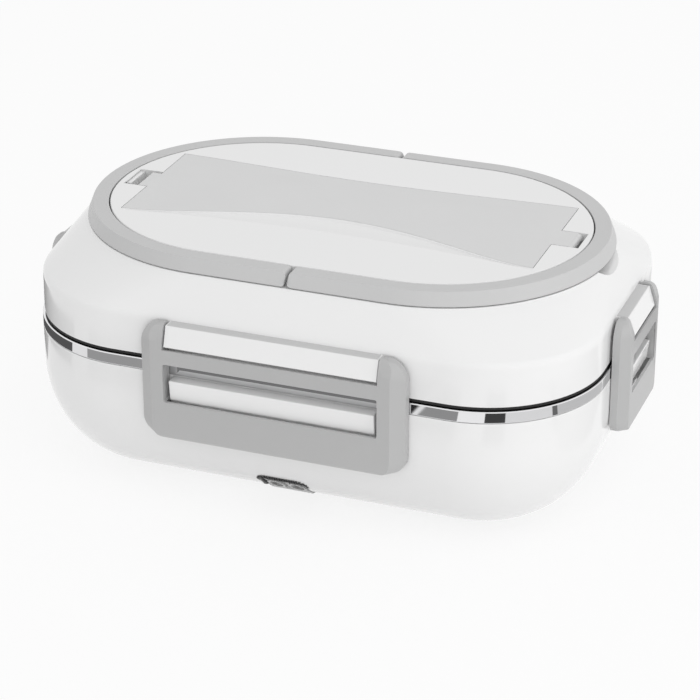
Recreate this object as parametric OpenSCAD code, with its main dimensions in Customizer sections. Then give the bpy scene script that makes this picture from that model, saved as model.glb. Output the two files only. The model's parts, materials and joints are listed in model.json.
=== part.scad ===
// Electric lunch box: heated base, lift-out steel container, clip-on lid with two carry handles.
// Origin: bottom centre. The front, with the power inlet, faces -Y. The carry handles part at x = 0.

/* [Body] */
// Length of the lid's outer wall
lid_l = 236; // [216:1:250]
// Width of the lid's outer wall
lid_w = 163; // [155:1:175]
// Corner radius of the lid's outer wall
corner_r = 49; // [44:1:52]
// How much the base and the steel band stand out past the lid's wall
rim_out = 0.85; // [0.6:0.05:1.2]
// Height of the base's rim above the table
base_top = 59.2; // [57:0.1:61]
// Wall thickness of the base shell
base_wall = 2.4; // [2:0.1:2.8]
// Horizontal radius of the rounding under the base
foot_rh = 38; // [34:1:40]
// Vertical radius of the rounding under the base
foot_rv = 43; // [38:1:46]

/* [Container] */
// Outer length of the pan just below its flange
pan_l = 221.2; // [216:0.1:222]
// Outer width of the pan just below its flange
pan_w = 144; // [140:0.1:146]
// Sheet thickness of the pan
pan_t = 0.6; // [0.5:0.1:0.8]
// Height of the pan's underside
pan_z = 15; // [14.9:0.1:18]
// Height of the top of the pan's flange
flange_z = 64.25; // [63.9:0.05:64.6]

/* [Lid] */
// Height of the lid wall's lower edge
lid_z = 65.4; // [65.2:0.1:66]
// Wall thickness of the lid
lid_wall = 2.2; // [1.8:0.1:2.4]
// Height of the shoulder's outer edge
shoulder_z = 84.8; // [83:0.1:86]
// Height of the top of the lid and of the handles
top_z = 104.2; // [103:0.1:106]

/* [Handles] */
// Half length of the opening inside the two handles
ring_hl = 101.5; // [99:0.1:102]
// Half width of the opening inside the two handles, which is also its end radius
ring_hw = 61.7; // [60:0.1:62]
// Width of a handle's top face
ring_top_w = 6.6; // [6:0.1:7]
// Extra width of a handle at its lower face
ring_flare = 2.25; // [1.5:0.05:2.5]
// Height of a handle's section
ring_h = 5.8; // [5.4:0.1:6]
// Gap between the two handles' rounded ends
handle_gap = 0.5; // [0.4:0.05:1.2]
// Radius of a handle's pivot pin
pivot_r = 1.3; // [1:0.1:1.5]

/* [Cutlery cover] */
// Half length of the cover without its tabs
cover_hl = 87.4; // [84:0.1:88]
// Half width of the cover at its ends
cover_hw = 32; // [30:0.1:33]
// How far the cover's front edge is drawn in at its middle
cover_waist = 19.4; // [14:0.1:20]
// How far the cover's back edge is drawn in at its middle
cover_back_waist = 3.6; // [0:0.1:5]
// Thickness of the cover
cover_t = 1.8; // [1.6:0.1:2]
// Middle of the cover along Y
cover_y = 1; // [0:0.1:2]

/* [Latches] */
// Half width of the front latch's window
front_win = 44.45; // [40:0.05:46]
// Half width of the side latches' window
side_win = 17.2; // [15:0.1:19]
// How far a latch's front face stands out past the lid's wall
latch_out = 7.7; // [7.4:0.1:8]
// Height of a latch's lower edge
latch_z = 34.3; // [33:0.1:36]
// Height of a window's lower edge
win_z0 = 50.2; // [49:0.1:51]
// Height of a window's upper edge
win_z1 = 66.6; // [66:0.1:67]
// Height of a latch's hinge axis
axis_z = 80.1; // [79.8:0.1:80.4]
// Distance of a latch's hinge axis from the lid's wall
axis_out = 3.2; // [3.1:0.1:3.4]
// Radius of a latch's hinge pin
latch_pin_r = 0.9; // [0.8:0.05:1]

/* [Inlet] */
// Middle of the inlet along X
inlet_x = -2; // [-4:0.1:4]
// Radius of a power socket
socket_r = 2.7; // [2.5:0.05:2.7]
// Distance between the middles of the two sockets
socket_pitch = 9.2; // [9:0.1:9.6]

/* [Hidden] */

$fn = 72;
shell_white = [0.93, 0.93, 0.93];
inner_white = [0.86, 0.87, 0.88];
trim_grey = [0.68, 0.68, 0.68];
handle_grey = [0.74, 0.74, 0.74];
socket_grey = [0.72, 0.72, 0.72];
cover_grey = [0.82, 0.82, 0.83];
steel = [0.75, 0.76, 0.78];
rubber_black = [0.08, 0.08, 0.08];
aluminium = [0.8, 0.81, 0.82];
brass = [0.8, 0.65, 0.3];

eps = 0.01;
lid_hl = lid_l / 2;
lid_hw = lid_w / 2;
base_hl = lid_hl + rim_out;
base_hw = lid_hw + rim_out;
base_r = corner_r + rim_out;
base_z = 1.2;
floor_z = base_z + base_wall;
arc_n = 14;

// Pan, liner and heating parts
pan_r = 40;
pan_draft = 2;
pan_rh = 16;
pan_rv = 18;
liner_gap = 1;
liner_t = 1.6;
liner_floor_z = 12.8;
liner_rim_gap = 0.3;
plate_hl = 60;
plate_hw = 35;
plate_r = 12;
plate_t = 2.5;
plate_gap = 0.3;
plate_top = pan_z - plate_gap;
plate_z = plate_top - plate_t;
seal_w = 1.5;
heater_l = 28;
heater_w = 24;
heater_h = 5;
heater_x = 15.3;
heater_mid = -1.1;
heater_z = plate_z - heater_h;
clamp_t = 1;
clamp_w = 12;
clamp_screw_x = 36.5;
clamp_boss_r = 3;
m3_r = 1.5;
screw_x = 68;
screw_y = 32;
foot_r = 7;
foot_recess = 1;
wire_r = 0.8;

// Catch lugs on the base
lug_out = 6.2;
lug_top = 59;
lug_low = 50.6;
lug_inset = 1.65;

// Lid details
shoulder_in = 2.7;
ledge_z = top_z - ring_h - 0.3;
platform_gap = 0.5;
platform_hl = ring_hl - platform_gap;
platform_hw = ring_hw - platform_gap;
shoulder_hl = ring_hl + ring_top_w + ring_flare;
shoulder_hw = ring_hw + ring_top_w + ring_flare;
ledge_t = 4.5;
plate_under = top_z - 4.4;
block_z0 = 73.6;
block_z1 = 82.3;
block_out0 = 7.1;
block_out1 = 4.3;
block_gap = 0.35;
notch_r = 26;
notch_deep = 2.2;
notch_fall = 11;
tub_hl = 80;
tub_y0 = -7.5;
tub_y1 = 25.5;
tub_floor = 87.6;
tub_t = 1.6;
tub_r = 8;
panel_z = 66.8;
panel_t = 2;
gasket_gap = 0.3;

// Handles
ring_z = top_z - ring_h;
end_r = ring_h / 2;
pivot_z = ring_z + end_r;
pivot_x = end_r + handle_gap / 2;
pin_in = 53;
pin_out = 66.6;
run_fit = 0.05;

// Cutlery cover, its hinge and its catch
cover_gap = 0.3;
recess_z = top_z - cover_t - 0.2;
cover_steps = 24;
cover_power = 1.75;
tab_hw = 7.3;
hinge_x = 94.6;
hinge_z = top_z - 1.9;
hinge_pin_r = 0.8;
barrel_r = 1.7;
slot_x0 = 90.5;
slot_x1 = 98.6;
slot_floor = 96;
left_tab_x = 91.5;
leg_t = 1.6;
leg_z = 95.6;
lip_w = 0.8;
catch_x0 = 96;
catch_x1 = 98.6;
catch_y0 = -3.6;
catch_y1 = 10;
catch_top = 103.3;
catch_z0 = 95.6;
catch_nose_t = 1.2;
catch_pocket_x = 99.7;
catch_roof_x = 98.1;
catch_roof_z = 103.6;
scoop_y = -26.2;
scoop_drop = 6.8;
scoop_rim = 0.45;
scoop_deep = 2;
scoop_r = 1524;

// Latches
latch_gap = 1.15;
skin_t = 1.2;
bar_top = block_z0 - 0.8;
bar_thin = 6.2;
bar_thick_z = 71.9;
bar_in = 3.7;
arm_top_r = 2.9;
slope_z = 76;
front_flat = 5.15;
side_flat = 3.6;
front_flare = 5.6;
side_flare = 4.8;
bevel_out = 4;
bevel_edge = 0.4;
front_round = 9.5;
side_round = 8;
pin_seat = 4.4;
pin_end = 4;

// Inlet: a tilted face that follows the rounding under the base
inlet_y = -67.7;
inlet_z = 10.9;
inlet_tilt = 50.4;
inlet_drop = 1.75;
nose_hw = 9.4;
nose_hh = 7.7;
nose_r = 2.6;
neck_t = 0.6;
collar_t = 1.7;
collar_h = 1.2;
face_in = 0.6;
face_t = 1;
socket_z = 9.1;
socket_rim = 0.8;
socket_back = -55;
block_front = -71;
block_back = -51;
block_z = 5.8;
block_hw = 8.2;
contact_front = -58;
contact_r = 0.6;
contact_dx = 1.4;

// Rounded rectangle, or a stadium where the radius reaches the half width
module plan_shape(hl, hw, r) {
    rr = min(r, hw - eps);
    square([2 * (hl - rr), 2 * hw], center = true);
    square([2 * hl, 2 * (hw - rr)], center = true);
    for (sx = [-1, 1])
        for (sy = [-1, 1])
            translate([sx * (hl - rr), sy * (hw - rr)])
                circle(r = rr);
}

module plan_block(hl, hw, r, z0, z1) {
    translate([0, 0, z0])
        linear_extrude(z1 - z0)
            plan_shape(hl, hw, r);
}

// Quarter ellipse from a flat bottom up to a vertical wall, as [inset, height]
function foot_arc(rh, rv, z0) =
    [for (i = [0 : arc_n]) [rh * (1 - sin(90 * i / arc_n)), z0 + rv * (1 - cos(90 * i / arc_n))]];

// Solid with a rounded rectangular plan whose wall stands in by the inset at each height
module tub_solid(hl, hw, r, prof) {
    n = len(prof) - 1;
    z0 = prof[0][1];
    z1 = prof[n][1];
    for (sx = [-1, 1])
        for (sy = [-1, 1])
            translate([sx * (hl - r), sy * (hw - r), 0])
                rotate([0, 0, sx > 0 ? (sy > 0 ? 0 : 270) : (sy > 0 ? 90 : 180)])
                    rotate_extrude(angle = 90)
                        polygon(concat([[0, z0]], [for (p = prof) [r - p[0], p[1]]], [[0, z1]]));
    rotate([90, 0, 90])
        translate([0, 0, r - hl])
            linear_extrude(2 * (hl - r))
                polygon(concat([for (p = prof) [hw - p[0], p[1]]],
                    [for (i = [n : -1 : 0]) [prof[i][0] - hw, prof[i][1]]]));
    rotate([90, 0, 0])
        translate([0, 0, r - hw])
            linear_extrude(2 * (hw - r))
                polygon(concat([for (p = prof) [hl - p[0], p[1]]],
                    [for (i = [n : -1 : 0]) [prof[i][0] - hl, prof[i][1]]]));
}

// Profile in [distance out from the lid wall, height], drawn along a wall on one of the four sides
module along_wall(half, wall) {
    rotate([90, 0, 90])
        translate([0, 0, -half])
            linear_extrude(2 * half)
                mirror([1, 0])
                    translate([wall, 0])
                        children();
}

// Turns a piece drawn for the front wall to one of the four sides
module on_side(turn) {
    rotate([0, 0, turn])
        children();
}

function side_wall(side) = side == 0 ? lid_hw : lid_hl;
function side_win_hw(side) = side == 0 ? front_win : side_win;
function side_lug_hw(side) = side_win_hw(side) - lug_inset;

// Base

module inlet_frame() {
    translate([inlet_x, inlet_y, inlet_z])
        rotate([90 + inlet_tilt, 0, 0])
            children();
}

module inlet_plan(grow, z0, z1) {
    inlet_frame()
        translate([0, -inlet_drop, 0])
            plan_block(nose_hw + grow, nose_hh + grow, nose_r + grow, z0, z1);
}

module inlet_block() {
    translate([inlet_x - block_hw, block_front, block_z])
        cube([2 * block_hw, block_back - block_front, liner_floor_z - 0.3 - block_z]);
}

module beyond_face(z0) {
    inlet_frame()
        translate([-20, -20, z0])
            cube([40, 40, 20]);
}

module outer_base() {
    tub_solid(base_hl, base_hw, base_r, concat(foot_arc(foot_rh, foot_rv, base_z), [[0, base_top]]));
}

module catch_lug(side) {
    along_wall(side_lug_hw(side), side_wall(side))
        polygon([[rim_out, lug_top], [lug_out, lug_top], [lug_out - 1, lug_low], [rim_out, lug_low - 4.1]]);
}

module catch_lugs() {
    color(shell_white) {
        for (turn = [0, 180])
            on_side(turn)
                catch_lug(0);
        for (turn = [90, 270])
            on_side(turn)
                catch_lug(1);
    }
}

module base_shell() {
    color(shell_white)
        difference() {
            union() {
                difference() {
                    outer_base();
                    tub_solid(base_hl - base_wall, base_hw - base_wall, base_r - base_wall,
                        concat(foot_arc(foot_rh - 1.5, foot_rv - 1.5, floor_z), [[0, base_top + 1]]));
                }
                for (sx = [-1, 1])
                    for (sy = [-1, 1])
                        translate([sx * screw_x, sy * screw_y, floor_z - eps])
                            cylinder(r = 6, h = 5.2);
            }
            for (sx = [-1, 1])
                for (sy = [-1, 1])
                    translate([sx * screw_x, sy * screw_y, 0]) {
                        cylinder(r = foot_r, h = base_z + foot_recess);
                        cylinder(r = 3, h = 4.2);
                        cylinder(r = m3_r, h = 12);
                    }
            inlet_plan(neck_t, -4.5, 6);
            difference() {
                inlet_block();
                beyond_face(-face_in - face_t);
            }
        }
}

module liner_profile_solid(gap, z0, z1) {
    tub_solid(pan_l / 2 + gap, pan_w / 2 + gap, pan_r + gap,
        concat([for (p = foot_arc(pan_rh, pan_rv, z0)) [p[0] + pan_draft, p[1]]], [[0, z1]]));
}

module base_liner() {
    rim_z = flange_z - pan_t - liner_rim_gap;
    out = base_hl - pan_t - liner_rim_gap;
    color(inner_white)
        difference() {
            union() {
                liner_profile_solid(liner_gap + liner_t, liner_floor_z, rim_z);
                plan_block(out, out - base_hl + base_hw, out - base_hl + base_r, base_top, rim_z);
                for (sx = [-1, 1])
                    for (sy = [-1, 1])
                        translate([sx * screw_x, sy * screw_y, 8.8])
                            cylinder(r = 4, h = 4.4);
            }
            liner_profile_solid(liner_gap, liner_floor_z + liner_t, rim_z + 1);
            difference() {
                plan_block(base_hl - base_wall, base_hw - base_wall, base_r - base_wall,
                    base_top - 1, rim_z - liner_t);
                liner_profile_solid(liner_gap + liner_t, liner_floor_z, rim_z);
            }
            plan_block(plate_hl + seal_w, plate_hw + seal_w, plate_r + seal_w,
                liner_floor_z - 1, liner_floor_z + 4);
            for (sx = [-1, 1])
                for (sy = [-1, 1])
                    translate([sx * screw_x, sy * screw_y, 8])
                        cylinder(r = m3_r, h = 4.2);
        }
}

module heating_plate() {
    color(aluminium)
        difference() {
            union() {
                plan_block(plate_hl, plate_hw, plate_r, plate_z, plate_top);
                for (sx = [-1, 1])
                    translate([sx * clamp_screw_x, 0, heater_z])
                        cylinder(r = clamp_boss_r, h = heater_h + eps);
            }
            for (sx = [-1, 1])
                translate([sx * clamp_screw_x, 0, heater_z - 1])
                    cylinder(r = m3_r, h = heater_h);
        }
}

module plate_seal() {
    color([0.75, 0.3, 0.25])
        difference() {
            plan_block(plate_hl + seal_w, plate_hw + seal_w, plate_r + seal_w,
                liner_floor_z, liner_floor_z + liner_t);
            plan_block(plate_hl, plate_hw, plate_r, liner_floor_z - 1, liner_floor_z + liner_t + 1);
        }
}

module heater_block(x) {
    translate([x - heater_l / 2, -heater_w / 2, heater_z])
        cube([heater_l, heater_w, heater_h]);
}

module mains_heater() {
    color(aluminium)
        heater_block(heater_mid - heater_x);
}

module vehicle_heater() {
    color(aluminium)
        heater_block(heater_mid + heater_x);
}

module heater_clamp() {
    color(steel)
        difference() {
            translate([-clamp_screw_x - 5, -clamp_w / 2, heater_z - clamp_t])
                cube([2 * clamp_screw_x + 10, clamp_w, clamp_t]);
            for (sx = [-1, 1])
                translate([sx * clamp_screw_x, 0, heater_z - 2 * clamp_t])
                    cylinder(r = m3_r, h = 3 * clamp_t);
        }
}

module clamp_screws() {
    color(steel)
        for (sx = [-1, 1])
            translate([sx * clamp_screw_x, 0, heater_z - clamp_t - 2]) {
                cylinder(r = 2.75, h = 2);
                cylinder(r = m3_r, h = clamp_t + 2 + 3.8);
            }
}

module thermostat() {
    color([0.25, 0.25, 0.27])
        translate([48, 0, 0]) {
            translate([0, 0, plate_z - 1])
                cylinder(r = 7.5, h = 1);
            translate([0, 0, plate_z - 5])
                cylinder(r = 6, h = 4 + eps);
        }
}

module thermal_fuse() {
    color([0.85, 0.85, 0.87])
        translate([-52, 8, plate_z - 1.8])
            rotate([0, 90, 0]) {
                cylinder(r = 1.8, h = 11);
                cylinder(r = 0.4, h = 52 - heater_l / 2 - heater_x + heater_mid);
            }
}

module socket_bodies(r, y0, y1) {
    for (sx = [-1, 1])
        translate([inlet_x + sx * socket_pitch / 2, y1, socket_z])
            rotate([90, 0, 0])
                cylinder(r = r, h = y1 - y0);
}

module inlet_housing() {
    color(socket_grey)
        difference() {
            union() {
                inlet_plan(0, -face_in - face_t, -face_in);
                difference() {
                    inlet_block();
                    beyond_face(-face_in - face_t + eps);
                }
                intersection() {
                    socket_bodies(socket_r + socket_rim, -76, -57);
                    inlet_plan(-0.2, -face_in - 0.2, 0.2);
                }
            }
            socket_bodies(socket_r, -78, socket_back);
            contact_pins(contact_r, block_back + 1);
        }
}

module inlet_grommet() {
    color([0.2, 0.2, 0.2])
        difference() {
            union() {
                inlet_plan(neck_t, -face_in - face_t, 0.3);
                difference() {
                    inlet_plan(collar_t, -1.2, collar_h);
                    outer_base();
                }
            }
            inlet_plan(0, -8, 4);
        }
}

module contact_pins(r, y1) {
    for (x = [-socket_pitch / 2, socket_pitch / 2])
        for (dx = [-contact_dx, contact_dx])
            translate([inlet_x + x + dx, y1, socket_z])
                rotate([90, 0, 0])
                    cylinder(r = r, h = y1 - contact_front);
}

module contact_pair(x) {
    intersection() {
        contact_pins(contact_r, block_back);
        translate([x - 4, contact_front - 1, 0])
            cube([8, 20, 20]);
    }
    for (dx = [-contact_dx, contact_dx])
        translate([x + dx - 0.8, block_back, socket_z - 0.4])
            cube([1.6, 4, 0.8]);
}

module mains_contacts() {
    color(brass)
        contact_pair(inlet_x - socket_pitch / 2);
}

module vehicle_contacts() {
    color(brass)
        contact_pair(inlet_x + socket_pitch / 2);
}

module wire_pair(x) {
    for (dx = [-contact_dx, contact_dx])
        translate([x + dx, -heater_w / 2, socket_z])
            rotate([90, 0, 0])
                cylinder(r = wire_r, h = -block_back - heater_w / 2 - 4);
}

module mains_wires() {
    color([0.5, 0.25, 0.2])
        wire_pair(inlet_x - socket_pitch / 2);
}

module vehicle_wires() {
    color([0.7, 0.15, 0.15])
        wire_pair(inlet_x + socket_pitch / 2);
}

module liner_screws() {
    color(steel)
        for (sx = [-1, 1])
            for (sy = [-1, 1])
                translate([sx * screw_x, sy * screw_y, base_z + foot_recess]) {
                    cylinder(r = 3, h = 2);
                    cylinder(r = m3_r, h = 9.4);
                }
}

module rubber_feet() {
    color(rubber_black)
        for (sx = [-1, 1])
            for (sy = [-1, 1])
                translate([sx * screw_x, sy * screw_y, 0])
                    cylinder(r = foot_r, h = base_z + foot_recess);
}

// Container

module food_container() {
    color(steel)
        difference() {
            union() {
                liner_profile_solid(0, pan_z, flange_z - pan_t + eps);
                plan_block(base_hl, base_hw, base_r, base_top + 0.25, flange_z);
            }
            liner_profile_solid(-pan_t, pan_z + pan_t, flange_z + 1);
            difference() {
                plan_block(base_hl - pan_t, base_hw - pan_t, base_r - pan_t, base_top - 1, flange_z - pan_t);
                liner_profile_solid(0, pan_z, flange_z);
            }
        }
}

// Lid

module shoulder_slice(hl, hw, r, z) {
    translate([0, 0, z])
        linear_extrude(eps)
            plan_shape(hl, hw, r, $fn = 64);
}

// Shoulder between the rounded rectangle of the wall and the stadium under the handles
module shoulder_form(inset, drop, top) {
    a = lid_hl - inset;
    b = lid_hw - inset;
    r = corner_r - inset;
    hull() {
        shoulder_slice(a, b, r, shoulder_z - 3.8 - drop);
        shoulder_slice(a - 0.8, b - 0.8, r - 0.8, shoulder_z - 1.6 - drop);
        shoulder_slice(a - shoulder_in, b - shoulder_in, r - shoulder_in, shoulder_z - drop);
        shoulder_slice(shoulder_hl - inset, shoulder_hw - inset, shoulder_hw - inset, top - eps);
    }
}

module hinge_block(side) {
    along_wall(side_win_hw(side) - block_gap, side_wall(side))
        polygon([[-2, block_z0], [block_out0 - 0.4, block_z0], [block_out0, block_z0 + 0.4],
            [block_out1, block_z1], [-2, block_z1]]);
}

module latch_axis(side, half, r) {
    translate([-half, -side_wall(side) - axis_out, axis_z])
        rotate([0, 90, 0])
            cylinder(r = r, h = 2 * half);
}

// Outline of the cutlery cover, grown by g: ends straight, front and back drawn in to a waist
function cover_edge(x, w) = w * pow(max(0, 1 - pow(x / cover_hl, 2)), cover_power);
function cover_xs() = [for (i = [-cover_steps / 2 : cover_steps / 2]) 2 * cover_hl * i / cover_steps];
function cover_points(g) = concat(
    [for (x = cover_xs()) [x * (cover_hl + g) / cover_hl, cover_edge(x, cover_waist) - cover_hw - g]],
    [for (x = cover_xs()) [-x * (cover_hl + g) / cover_hl, cover_hw + g - cover_edge(x, cover_back_waist)]]);

module cover_outline(g) {
    translate([0, cover_y])
        polygon(cover_points(g));
}

function scoop_edge(x) = scoop_y - scoop_drop * pow(x / cover_hl, 2);

// Hollow in front of the cover: shallow at the cover, deepest in the middle of its front line
module finger_scoop() {
    run = cover_y - cover_hw + cover_waist - scoop_y;
    intersection() {
        translate([0, 0, top_z - 6])
            linear_extrude(8)
                difference() {
                    polygon(concat([for (x = cover_xs()) [x, scoop_edge(x)]],
                        [[cover_hl, 0], [-cover_hl, 0]]));
                    cover_outline(0);
                }
        translate([0, scoop_y + run, top_z - scoop_rim])
            rotate([90 + atan((scoop_deep - scoop_rim) / run), 0, 0])
                translate([0, scoop_r, -30])
                    cylinder(r = scoop_r, h = 80, $fn = 720);
    }
}

module tub_block(grow, z0, z1) {
    translate([0, (tub_y0 + tub_y1) / 2, 0])
        plan_block(tub_hl + grow, (tub_y1 - tub_y0) / 2 + grow, tub_r + grow, z0, z1);
}

module centred_box(x0, x1, half, z0, z1) {
    translate([x0, cover_y - half, z0])
        cube([x1 - x0, 2 * half, z1 - z0]);
}

module handle_pin_bores(r) {
    for (sx = [-1, 1])
        for (sy = [-1, 1])
            translate([sx * pivot_x, sy * pin_in, pivot_z])
                rotate([-sy * 90, 0, 0])
                    cylinder(r = r, h = pin_out - pin_in);
}

module lid_shell() {
    color(shell_white)
        difference() {
            union() {
                difference() {
                    union() {
                        plan_block(lid_hl, lid_hw, corner_r, lid_z, shoulder_z - 3.7);
                        shoulder_form(0, 0, ledge_z);
                        plan_block(platform_hl, platform_hw, platform_hw, ledge_z - 1, top_z);
                    }
                    plan_block(lid_hl - lid_wall, lid_hw - lid_wall, corner_r - lid_wall,
                        lid_z - 1, shoulder_z - 5.9);
                    shoulder_form(lid_wall, lid_wall, ledge_z - ledge_t);
                    plan_block(platform_hl - 2.7, platform_hw - 2.7, platform_hw - 2.7,
                        ledge_z - ledge_t - 1, plate_under);
                }
                for (turn = [0, 180])
                    on_side(turn)
                        hinge_block(0);
                for (turn = [90, 270])
                    on_side(turn)
                        hinge_block(1);
                tub_block(tub_t, tub_floor - tub_t, plate_under + 1);
                centred_box(slot_x0 - 1.5, slot_x1 + 1.5, tab_hw + 2, slot_floor - 1.5, plate_under + 1);
                intersection() {
                    translate([-catch_pocket_x - 2, cover_y - tab_hw - 2, catch_z0 - 1.7])
                        cube([catch_pocket_x + 5.5 - left_tab_x, catch_y1 + 4 - cover_y + tab_hw,
                            plate_under + 2.7 - catch_z0]);
                    plan_block(platform_hl, platform_hw, platform_hw, ledge_z - ledge_t - 1, top_z);
                }
                for (sy = [-1, 1])
                    translate([-pivot_x - 3, sy * 55.5 - 3.5, pivot_z - 3.4])
                        cube([2 * pivot_x + 6, 7, 4]);
            }
            // Recess of the cover, compartment, slots for its two tabs and finger scoops
            translate([0, 0, recess_z])
                linear_extrude(4)
                    cover_outline(cover_gap);
            tub_block(0, tub_floor, top_z);
            centred_box(cover_hl - 4, slot_x0 + 1, tab_hw + 0.4, recess_z, top_z + 1);
            centred_box(slot_x0, slot_x1, tab_hw + 0.4, slot_floor, top_z + 1);
            translate([-catch_pocket_x, cover_y - tab_hw - 0.4, catch_z0 - 0.3])
                cube([catch_pocket_x - left_tab_x + 0.3, catch_y1 + 0.8 - cover_y + tab_hw,
                    catch_roof_z - catch_z0 + 0.3]);
            translate([-catch_roof_x, cover_y - tab_hw - 0.4, catch_roof_z - 1])
                cube([catch_roof_x - left_tab_x + 0.3, catch_y1 + 0.8 - cover_y + tab_hw, 4]);
            centred_box(-left_tab_x - 1, leg_t + 0.4 - left_tab_x, tab_hw + 0.4, catch_z0 - 0.3, top_z + 1);
            centred_box(-left_tab_x + 1, 4 - cover_hl, tab_hw + 0.4, recess_z, top_z + 1);
            finger_scoop();
            // A hollow for a fingertip under each handle's middle
            for (turn = [0, 180])
                on_side(turn)
                    translate([platform_hl + 0.4, 0, ledge_z - notch_deep])
                        rotate([0, 90 + notch_fall, 0])
                            translate([-notch_r, 0, 0])
                                cylinder(r = notch_r, h = 20);
            // Bores of the pins
            handle_pin_bores(pivot_r);
            translate([hinge_x, cover_y - 10.5, hinge_z])
                rotate([-90, 0, 0])
                    cylinder(r = hinge_pin_r, h = 21);
            for (turn = [0, 180])
                on_side(turn)
                    latch_axis(0, front_win, latch_pin_r);
            for (turn = [90, 270])
                on_side(turn)
                    latch_axis(1, side_win, latch_pin_r);
        }
}

module lid_inner_panel() {
    color(inner_white)
        plan_block(lid_hl - lid_wall, lid_hw - lid_wall, corner_r - lid_wall, panel_z, panel_z + panel_t);
}

module lid_gasket() {
    hl = lid_hl - lid_wall - 0.2;
    hw = lid_hw - lid_wall - 0.2;
    color(rubber_black)
        difference() {
            union() {
                plan_block(hl, hw, corner_r - lid_wall - 0.2, flange_z + gasket_gap, panel_z);
                plan_block(lid_hl - 0.3, lid_hw - 0.3, corner_r - 0.3, flange_z + gasket_gap, lid_z);
            }
            plan_block(pan_l / 2 - 1.2, pan_w / 2 - 1.2, pan_r - 1.2, flange_z - 1, panel_z + 1);
        }
}

module latch_pin(side) {
    color(steel)
        latch_axis(side, side_win_hw(side) + pin_end, latch_pin_r);
}

module latch_pin_front() {
    on_side(0)
        latch_pin(0);
}

module latch_pin_back() {
    on_side(180)
        latch_pin(0);
}

module latch_pin_left() {
    on_side(270)
        latch_pin(1);
}

module latch_pin_right() {
    on_side(90)
        latch_pin(1);
}

module handle_pins() {
    color(steel)
        handle_pin_bores(pivot_r);
}

module cover_hinge_pin() {
    color(steel)
        translate([hinge_x, cover_y - 10.5, hinge_z])
            rotate([-90, 0, 0])
                cylinder(r = hinge_pin_r, h = 21);
}

// Cover

module cutlery_cover() {
    color(cover_grey)
        difference() {
            union() {
                translate([0, 0, top_z - cover_t])
                    linear_extrude(cover_t)
                        cover_outline(0);
                centred_box(cover_hl - 4, hinge_x, tab_hw, top_z - cover_t, top_z);
                translate([hinge_x, cover_y - tab_hw, hinge_z])
                    rotate([-90, 0, 0])
                        cylinder(r = barrel_r, h = 2 * tab_hw);
                centred_box(-left_tab_x, 4 - cover_hl, tab_hw, top_z - cover_t, top_z);
                centred_box(-left_tab_x, leg_t - left_tab_x, tab_hw - 1.5, leg_z, top_z - eps);
                centred_box(-left_tab_x - lip_w, leg_t - left_tab_x, tab_hw - 1.5, leg_z, leg_z + 1);
            }
            translate([hinge_x, cover_y - 10.5, hinge_z])
                rotate([-90, 0, 0])
                    cylinder(r = hinge_pin_r + run_fit, h = 21);
        }
}

module cover_catch() {
    color(shell_white) {
        translate([-catch_x1, catch_y0, catch_z0])
            cube([catch_x1 - catch_x0, catch_y1 - catch_y0, catch_top - catch_z0]);
        translate([-catch_x0 - eps, catch_y0 + 1.5, leg_z + 1.3])
            cube([catch_x0 - left_tab_x - lip_w - 0.3 + eps, 5.8, catch_nose_t]);
    }
}

// Handles

module handle_section() {
    polygon([[0, 0.3], [0.3, 0], [ring_top_w + ring_flare - 0.4, 0], [ring_top_w + ring_flare, 0.4],
        [ring_top_w + 0.2, ring_h - 0.5], [ring_top_w - 0.4, ring_h], [0.3, ring_h], [0, ring_h - 0.3]]);
}

module handle_loop() {
    straight = ring_hl - ring_hw - pivot_x + end_r;
    difference() {
        union() {
            translate([ring_hw - ring_hl, 0, ring_z])
                rotate([0, 0, 90])
                    rotate_extrude(angle = 180)
                        translate([ring_hw, 0])
                            handle_section();
            for (sy = [-1, 1])
                translate([ring_hw - ring_hl, 0, ring_z])
                    mirror([0, sy > 0 ? 0 : 1, 0])
                        rotate([90, 0, 90])
                            linear_extrude(straight)
                                translate([ring_hw, 0])
                                    handle_section();
        }
        // Ends rounded about the pivot, so that they turn clear of the ledge
        difference() {
            translate([-pivot_x, -80, ring_z - 1])
                cube([10, 160, ring_h + 2]);
            translate([-pivot_x, 90, pivot_z])
                rotate([90, 0, 0])
                    cylinder(r = end_r, h = 180);
        }
        for (sy = [-1, 1])
            translate([-pivot_x, sy * pin_in, pivot_z])
                rotate([-sy * 90, 0, 0])
                    cylinder(r = pivot_r + run_fit, h = pin_out + 0.2 - pin_in);
    }
}

module handle_left() {
    color(handle_grey)
        handle_loop();
}

module handle_right() {
    color(handle_grey)
        rotate([0, 0, 180])
            handle_loop();
}

// Latches

module latch_profile() {
    polygon(concat([[latch_gap, latch_z], [latch_out - 0.9, latch_z], [latch_out, latch_z + 1.1],
        [latch_out, slope_z]],
        [for (a = [20 : 11.5 : 135]) [axis_out + arm_top_r * cos(a), axis_z + arm_top_r * sin(a)]]));
}

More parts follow.
